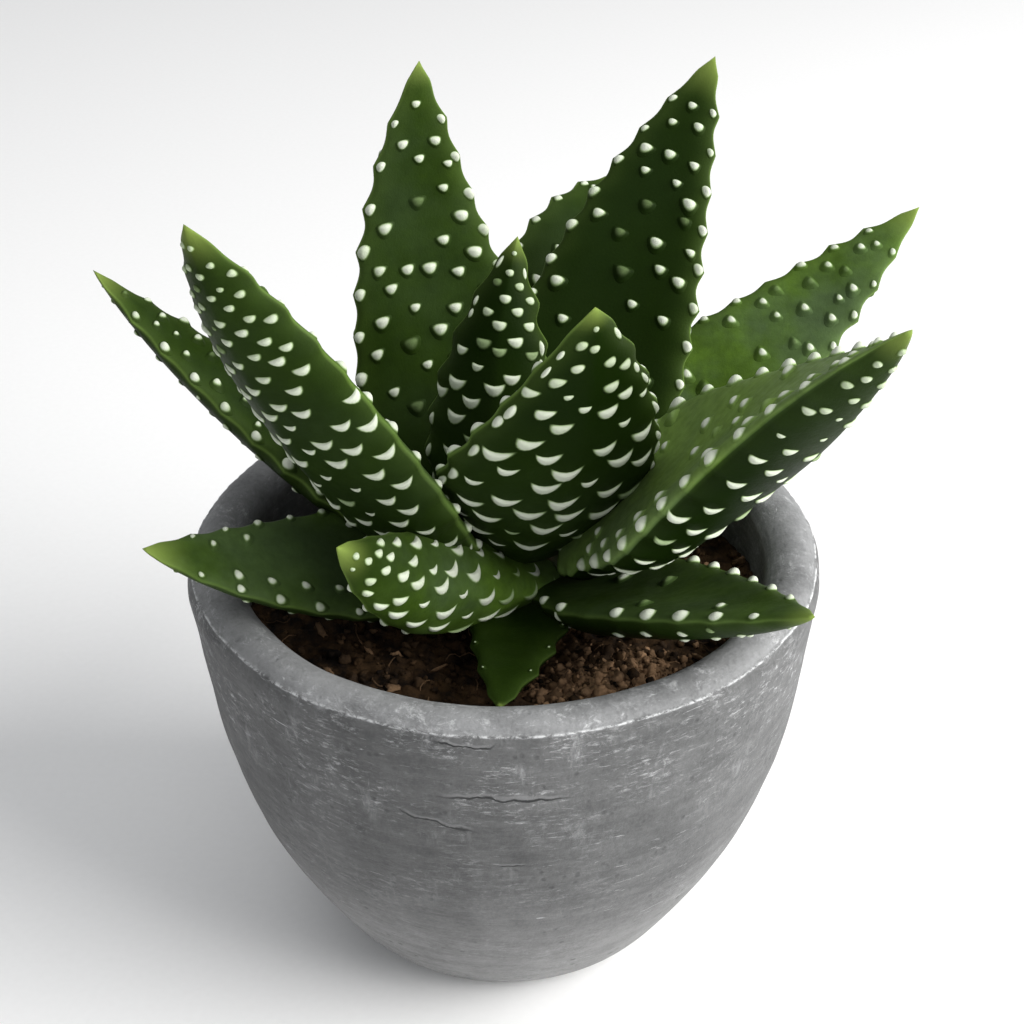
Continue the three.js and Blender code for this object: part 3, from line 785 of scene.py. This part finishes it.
BAND_PITCH = 5  # millimetres from tooth to tooth
ROWS_PER_BAND = 10
BLADE_SIDES = 72
LAST_ROW = 0.992
FIRST_TOOTH = 1.15  # in half bands from the foot
SPARE_AT_TIP = 0.1
TOOTH_HEIGHT = 0.65
TEETH_START, TEETH_END = 0.04, 0.985
SIDE_FULLNESS = 0.9
FOOT_THICKNESS = 0.8
THICK_POINT, THICK_FULLNESS = 2.3, 0.8
UPPER_CROWN = 2.2
CHANNEL = 2.4
KEEL_SHARPNESS = 0.8
RIM_WIDTH, RIM_STRENGTH = 0.22, 0.42
# The broad band beside the margin: partly the leaf's own paler edge and partly painted light
# shining through the thin edge.
PALE_AND_LIT_EDGE_WIDTH, PALE_AND_LIT_EDGE_STRENGTH = 1.9, 0.1
TIP_STRENGTH = 0.85
MIDLINE_STEPS = 512
STEP = 1e-3  # a small step on the skin, to measure its slope


def smooth(t):
    t = np.clip(t, 0, 1)
    return t * t * (3 - 2 * t)


def heading_of(leaf, u):
    """Turn and slope of the midline, in radians."""
    turn = np.radians(leaf["turn"] + leaf["swing"] * u)
    slope = np.radians(leaf["rise"] + (leaf["lift"] - leaf["rise"]) * u)
    return turn, slope


def midline(leaf, u):
    """Points on the leaf's midline, u from 0 at the foot to 1 at the tip."""
    turn, slope = heading_of(leaf, (np.arange(MIDLINE_STEPS) + 0.5) / MIDLINE_STEPS)
    steps = np.stack(
        [np.cos(slope) * np.cos(turn), np.cos(slope) * np.sin(turn), np.sin(slope)], 1)
    walk = np.vstack([np.zeros(3), np.cumsum(steps, 0)]) * leaf["length"] / MIDLINE_STEPS
    knots = np.linspace(0, 1, MIDLINE_STEPS + 1)
    return np.stack([leaf["foot"][i] + np.interp(u, knots, walk[:, i]) for i in range(3)], -1)


def bands_of(leaf):
    return round(leaf["length"] / BAND_PITCH)


def half_bands(leaf):
    return 2 * bands_of(leaf) + SPARE_AT_TIP


def band_at(leaf, u):
    """Which band of teeth u lies on; each whole number is the point of a tooth."""
    return (u * half_bands(leaf) - FIRST_TOOTH) / 2


def place_of(leaf, band):
    """The u at which a band of teeth lies."""
    return (2 * band + FIRST_TOOTH) / half_bands(leaf)


def narrowing(leaf, u):
    """The share of its full width that the leaf has left on its way to the tip."""
    return np.maximum(1 - u ** leaf["point"], 0) ** SIDE_FULLNESS


def skin_point(leaf, u, angle):
    """Point on the skin: angle 0 and pi are the margins, and pi/2 the middle of the face."""
    c, s = np.cos(angle), np.sin(angle)
    reach = leaf["waist"] + (1 - leaf["waist"]) * smooth(u / leaf["shoulder"])
    wide = reach * narrowing(leaf, u)
    thick = FOOT_THICKNESS + (1 - FOOT_THICKNESS) * smooth(u / 0.3)
    thick = thick * np.maximum(1 - u ** THICK_POINT, 0) ** THICK_FULLNESS
    band = band_at(leaf, u)
    cusp = 1 - np.abs(np.sin(np.pi * band))
    cusp = cusp + leaf["scallop"] * (np.cos(np.pi * band) ** 2 - cusp)
    uneven = leaf["teeth"] * (1 + 0.3 * np.sin(5.3 * np.round(band) + leaf["turn"] + np.sign(c)))
    tooth = TOOTH_HEIGHT * uneven * cusp * np.minimum(1, 4 * wide)
    tooth = tooth * (u > TEETH_START) * (u < TEETH_END)
    x = (leaf["width"] / 2 * wide + tooth * np.abs(c) ** 9) * c
    crown = UPPER_CROWN * thick * s - CHANNEL * thick * wide * s ** 3
    ridge = KEEL_SHARPNESS * np.abs(s) + (1 - KEEL_SHARPNESS) * (1 - np.abs(c))
    y = np.where(s < 0, -leaf["keel"] * thick * ridge, crown)
    turn, slope = heading_of(leaf, u)
    roll = np.radians(leaf["roll"] + leaf["twist"] * u)
    side = np.stack([-np.sin(turn), np.cos(turn), np.zeros_like(turn)], -1)
    up = np.stack(
        [-np.sin(slope) * np.cos(turn), -np.sin(slope) * np.sin(turn), np.cos(slope)], -1)
    cr, sr = np.cos(roll)[..., None], np.sin(roll)[..., None]
    across, face = side * cr + up * sr, up * cr - side * sr
    return midline(leaf, u) + across * x[..., None] + face * y[..., None]


def step_around(leaf, u, angle):
    return skin_point(leaf, u, angle + STEP) - skin_point(leaf, u, angle - STEP)


def skin_per_radian(leaf, u, angle):
    """Millimetres of skin for each radian round the leaf."""
    return np.linalg.norm(step_around(leaf, u, angle), axis=-1) / (2 * STEP)


def skin_normal(leaf, u, angle):
    """Outward direction of the skin."""
    along = skin_point(leaf, np.minimum(u + STEP, 1), angle) - skin_point(leaf, u - STEP, angle)
    out = np.cross(step_around(leaf, u, angle), along)
    return out / np.maximum(np.linalg.norm(out, axis=-1, keepdims=True), 1e-12)


def skin_marks(leaf, u, angle, white):
    """The named values that colour the skin."""
    margin = np.where(np.cos(angle) > 0, 0.0, np.pi)
    away = np.linalg.norm(skin_point(leaf, u, angle) - skin_point(leaf, u, margin), axis=-1)
    golden = np.clip((u - 1) / (2 * leaf["gold"]) + 1, 0, 1)
    return {
        "white": white,
        "tip": TIP_STRENGTH * golden ** 1.6,
        # The thin pale margin is the leaf's own colour; the broad band beside it is partly
        # painted light shining through the thin edge.
        "rim": leaf["pale"] * (RIM_STRENGTH * np.exp(-(away / RIM_WIDTH) ** 2)
                               + PALE_AND_LIT_EDGE_STRENGTH * np.exp(-(away / PALE_AND_LIT_EDGE_WIDTH) ** 2)),
        # The green's lightness: partly the leaf's own tone and partly painted light, set leaf by
        # leaf and changed from the foot to the tip, less painted shade on the back.
        "tone_and_light": (leaf["tone_and_light"] * (1 + leaf["foot_light"] * (0.5 - u))
                 - leaf["shade"] * smooth(-np.sin(angle) * 10)),
    }


def blade(leaf):
    """The net of the bare leaf: its points, faces and marks."""
    rows = place_of(leaf, np.arange(-0.5, bands_of(leaf) - 0.56, 1 / ROWS_PER_BAND))
    rows = rows[rows < LAST_ROW]
    angles = 2 * np.pi * np.arange(BLADE_SIDES) / BLADE_SIDES
    u, angle = (grid.ravel() for grid in np.meshgrid(rows, angles, indexing="ij"))
    ends = [midline(leaf, np.array([e])) for e in (0.0, 1.0)]
    points = np.vstack([ends[0], skin_point(leaf, u, angle), ends[1]])
    u = np.concatenate([[0.0], u, [1.0]])
    angle = np.concatenate([[0.0], angle, [0.0]])
    return points, ring_faces(len(rows), BLADE_SIDES), skin_marks(leaf, u, angle, 0 * u)


BUMP_RINGS = np.array([0.25, 0.48, 0.64, 0.76, 0.88, 1.0])
BUMP_SIDES = 16
BUMP_ROUNDNESS = 1.5
BUMP_LEAN = 0.45  # towards the tip, as a share of the height
BUMP_SINK = 0.03  # its edge lies this far below the skin, and its closing point ROOT_DEPTH
ROOT_DEPTH = 0.15


def spot(u, angle, half_width, half_length, height, white, cap,
         bend=0.0, flat=1.0, skew=0.0, taper=0.0):
    """One bump: cap is how far the white reaches down its sides, bend its bow towards the tip,
    flat the length of its upper half, and taper how much narrower it is towards the foot."""
    return u, angle, half_width, half_length, height, white, cap, bend, flat, skew, taper


def bumps(leaf, spots):
    """White bumps that swell out of the skin, each a closed shell: points, faces and marks."""
    (u, angle, half_width, half_length, height, white, cap, bend, flat, skew,
     taper) = np.array(spots).T[..., None]
    turns = 2 * np.pi * np.arange(BUMP_SIDES) / BUMP_SIDES
    r = np.concatenate([[0.0], np.repeat(BUMP_RINGS, BUMP_SIDES), [0.0]])
    phi = np.concatenate([[0.0], np.tile(turns, len(BUMP_RINGS)), [0.0]])
    s, v = r * np.cos(phi), r * np.sin(phi)
    swell = height * (1 - r ** 2) ** BUMP_ROUNDNESS
    across = half_width * s * (1 + taper * v)
    along = half_length * v * np.where(v > 0, flat, 1.0) * (1 + skew * s) + bend * s ** 2
    along = along + BUMP_LEAN * swell - 0.3 * bend
    slant = math.radians(leaf["slant"])
    across, along = (across * math.cos(slant) - along * math.sin(slant),
                     across * math.sin(slant) + along * math.cos(slant))
    per_radian = skin_per_radian(leaf, u, angle)
    u = np.clip(u + along / leaf["length"], 0.002, 0.998)
    angle = angle + across / per_radian
    lift = swell - BUMP_SINK
    lift[:, -1] = -ROOT_DEPTH
    points = skin_point(leaf, u, angle) + skin_normal(leaf, u, angle) * lift[..., None]
    tint = white * smooth((cap - np.hypot(s, v - 0.1)) / 0.4)
    shell = [face[::-1] for face in ring_faces(len(BUMP_RINGS), BUMP_SIDES)]
    faces = [tuple(len(r) * k + i for i in face) for k in range(len(spots)) for face in shell]
    marks = skin_marks(leaf, u.ravel(), angle.ravel(), tint.ravel())
    return points.reshape(-1, 3), faces, marks


BACK_PITCH, BACK_SPACING = 2.75, 7.0
BACK_START, BACK_END = 0.07, 0.975
FACE_PITCH, FACE_SPACING = 4.1, 4.6
FACE_START, FACE_END = 0.15, 0.95
SEAM_PITCH = 4.3
SEAM_START, SEAM_END = 0.22, 0.84
BARE_EDGE = 0.8
CLOSEST = 0.85  # how near two bumps may be, as a share of their two sizes
MARGIN_INSET = 0.38
INNER_INSET = 2.4
BARE_FOOT = 0.1  # no bumps stand on the margin below this share of the leaf


def spread_over(leaf, u, start, end, spacing, offset):
    """Angles at even distances across one face at u, counted from its middle."""
    angles = np.linspace(start, end, 81)
    points = skin_point(leaf, np.full_like(angles, u), angles)
    arc = np.concatenate([[0], np.cumsum(np.linalg.norm(np.diff(points, axis=0), axis=1))])
    half = arc[-1] / 2
    reach = int(half / spacing) + 1
    places = half + (np.arange(-reach, reach + 1) + offset) * spacing
    inside = (places > BARE_EDGE) & (places < arc[-1] - BARE_EDGE)
    return np.interp(places[inside], arc, angles)


def back_spots(leaf, dice):
    """Crescents in staggered rows across the back, smaller, rounder and closer at the tip."""
    spots, u, row = [], BACK_START, 0
    while u < BACK_END:
        grown = min((1 - u) / 0.45, 1) ** 1.05
        closer = (0.42 + 0.58 * grown) * leaf["bump"] ** 0.5 * leaf["close"]
        foot = 1 - float(smooth(u / 0.45))
        spacing, offset = BACK_SPACING * closer, 0.5 * (row % 2)
        for angle in spread_over(leaf, u, math.pi, 2 * math.pi, spacing, offset):
            full_size = dice.random() < 0.82
            size = leaf["bump"] * dice.uniform(*((0.88, 1.08) if full_size else (0.5, 0.72)))
            if dice.random() > 0.95 * leaf["back"]:
                continue
            half_width = size * (0.5 + (1.5 + 0.3 * foot) * grown * leaf["crescent"])
            spots.append(spot(
                u + dice.normal(0, 0.3) / leaf["length"], angle + dice.normal(0, 0.04),
                half_width, size * (0.5 + 0.65 * grown) * (1 - 0.4 * foot),
                bend=(0.68 + 0.15 * foot) * grown * leaf["crescent"] * half_width,
                flat=1 - 0.52 * grown, skew=dice.uniform(-0.35, 0.35), height=0.36 * size,
                white=((0.6 + 0.4 * grown)
                       * (dice.uniform(0.8, 1.0) if dice.random() < 0.93 else 0.45)),
                cap=leaf["cap"]))
        u += BACK_PITCH * closer / leaf["length"]
        row += 1
    return spots


def face_spots(leaf, dice):
    """Small rounded triangles, thinly spread over the upper face."""
    spots, u, row = [], FACE_START, 0
    while u < FACE_END:
        grown = min((1 - u) / 0.35, 1)
        closer = 0.5 + 0.5 * grown
        spacing, offset = FACE_SPACING * closer, 0.5 * (row % 2)
        for angle in spread_over(leaf, u, 0.2, math.pi - 0.2, spacing, offset):
            size = leaf["bump"] * dice.uniform(0.75, 1.15) * (0.6 + 0.4 * grown)
            if dice.random() > 0.88 * leaf["face"]:
                continue
            spots.append(spot(
                u + dice.normal(0, 0.8) / leaf["length"], angle + dice.normal(0, 0.06),
                1.35 * size, 1.35 * size, bend=0.3 * size, flat=0.7,
                skew=dice.uniform(-0.25, 0.25), height=0.66 * size,
                white=dice.uniform(0.8, 1.0) if dice.random() < 0.82 else 0.25,
                cap=0.78 * leaf["cap"], taper=dice.uniform(0.05, 0.3)))
        u += FACE_PITCH * closer / leaf["length"]
        row += 1
    return spots


def margin_spots(leaf, dice):
    """A bump at each tooth of both margins, looser ones on the face beside them, and for some
    leaves a fringe on the skin below them."""
    spots = []
    for band in range(bands_of(leaf) - 1):
        u = place_of(leaf, band)
        between_teeth = u + 1 / half_bands(leaf)
        half = leaf["width"] / 2 * narrowing(leaf, u)
        edge = math.acos(max(1 - MARGIN_INSET / half, -1))
        inner = math.acos(max(1 - INNER_INSET / half, -1))
        smaller = 0.55 + 0.45 * min((1 - u) / 0.35, 1)
        wide_enough = u > BARE_FOOT and half > 1.5 * INNER_INSET
        for angle in (inner, math.pi - inner):
            size = leaf["bump"] * smaller * dice.uniform(0.9, 1.2)
            if wide_enough and dice.random() < 0.62 * leaf["face"]:
                spots.append(spot(
                    between_teeth, angle, 1.2 * size, 1.2 * size, bend=0.25, flat=0.75,
                    skew=dice.uniform(-0.25, 0.25), height=0.62 * size,
                    white=dice.uniform(0.75, 1.0), cap=0.8 * leaf["cap"],
                    taper=dice.uniform(0.05, 0.3)))
        for angle in (edge, math.pi - edge):
            size = leaf["edge"] * leaf["bump"] * smaller * dice.uniform(0.85, 1.15)
            if u > BARE_FOOT and dice.random() < 0.95:
                spots.append(spot(
                    u, angle, 0.85 * size, 1.05 * size, bend=0.1, flat=0.85,
                    height=0.6 * size, white=dice.uniform(0.7, 1.0), cap=leaf["cap"],
                    taper=0.15))
            for place in (u, between_teeth):
                size = leaf["bump"] * smaller * dice.uniform(0.75, 1.1)
                under = edge * dice.uniform(0.8, 1.3)
                if u > BARE_FOOT and dice.random() < leaf["fringe"]:
                    spots.append(spot(
                        place + dice.normal(0, 0.5) / leaf["length"],
                        -under if angle == edge else math.pi + under,
                        0.6 * size, dice.uniform(0.95, 1.5) * size,
                        skew=dice.uniform(-0.3, 0.3), height=0.4 * size,
                        white=dice.uniform(0.75, 1.0), cap=leaf["cap"]))
    return spots


def seam_spots(leaf, dice):
    """One more row of large bumps, where the leaf has one."""
    if leaf["seam"] is None:
        return []
    return [spot(u + dice.normal(0, 0.004), leaf["seam"], leaf["bump"] * dice.uniform(0.9, 1.3),
                 1.15 * leaf["bump"], bend=0.1, flat=0.8, skew=dice.uniform(-0.2, 0.2),
                 height=0.6, white=dice.uniform(0.7, 0.95), cap=leaf["cap"], taper=0.2)
            for u in np.arange(SEAM_START, SEAM_END, SEAM_PITCH / leaf["length"])]


def kept_apart(leaf, spots):
    """The spots, without those that would grow into one that stands before them in the list."""
    u, angle, half_width, half_length = np.array(spots).T[:4]
    per_radian = skin_per_radian(leaf, u, angle)
    kept = []
    for k in range(len(spots)):
        turn = np.abs((angle[kept] - angle[k] + math.pi) % (2 * math.pi) - math.pi)
        across = turn * per_radian[k] / (half_width[kept] + half_width[k])
        along = (u[kept] - u[k]) * leaf["length"] / (half_length[kept] + half_length[k])
        if np.all(np.hypot(across, along) > CLOSEST):
            kept.append(k)
    return [spots[k] for k in kept]


for number, (name, given_leaf) in enumerate(LEAVES.items()):
    leaf = {**USUAL, **given_leaf}
    dice = np.random.default_rng(100 + number)
    points, faces, marks = blade(leaf)
    spots = margin_spots(leaf, dice) + seam_spots(leaf, dice)
    spots = kept_apart(leaf, spots + face_spots(leaf, dice) + back_spots(leaf, dice))
    bump_points, bump_faces, bump_marks = bumps(leaf, spots)
    start = len(points)
    faces = faces + [tuple(start + i for i in face) for face in bump_faces]
    points = np.vstack([points, bump_points])
    marks = {key: np.concatenate([marks[key], bump_marks[key]]) for key in marks}
    made = mesh_object(name.replace("leaf_", "blade_"), points, faces, skin, marks)
    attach(made, "root")
    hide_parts(name)
